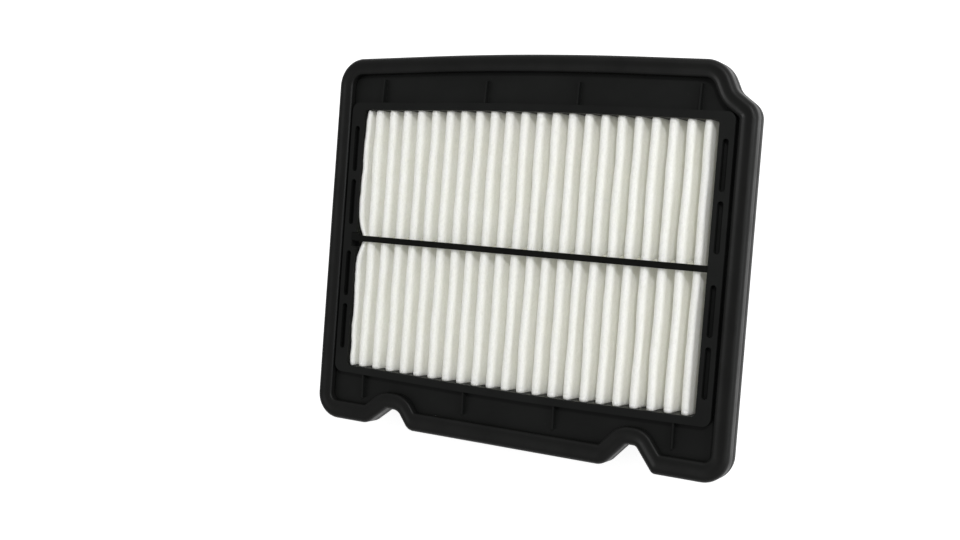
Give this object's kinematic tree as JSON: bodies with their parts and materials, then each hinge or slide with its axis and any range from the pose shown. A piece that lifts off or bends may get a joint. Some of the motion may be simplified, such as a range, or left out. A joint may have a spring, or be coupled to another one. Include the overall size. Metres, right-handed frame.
{
  "type": "panel air filter",
  "caption": "Rectangular engine air filter: pleated white felt in a black moulded tray, with a flange, spacer bars and a soft black perimeter seal with edge notches.",
  "frame": {"origin": "middle of the overall outline, on the outlet face of the tray", "axes": "+X along the long side, +Y along the pleats towards the arched edge, +Z out of the inlet face"},
  "size_m": [0.2226, 0.1895, 0.04],
  "materials": {
    "moulded_plastic": "satin, black injection-moulded polypropylene",
    "seal_rubber": "satin, black soft moulded seal",
    "filter_felt": "matt off-white nonwoven felt",
    "comb_plastic": "satin black plastic",
    "adhesive": "translucent cream hot-melt adhesive"
  },
  "bodies": {
    "root": {"frame": "moulded_plastic", "perimeter_seal": "seal_rubber", "pleat_pack": "filter_felt", "front_crossbar": "comb_plastic", "rear_crossbar": "comb_plastic", "upper_bead": "adhesive", "lower_bead": "adhesive", "left_bead": "adhesive", "right_bead": "adhesive", "crossbar_bead": "adhesive"}
  },
  "joints": []
}
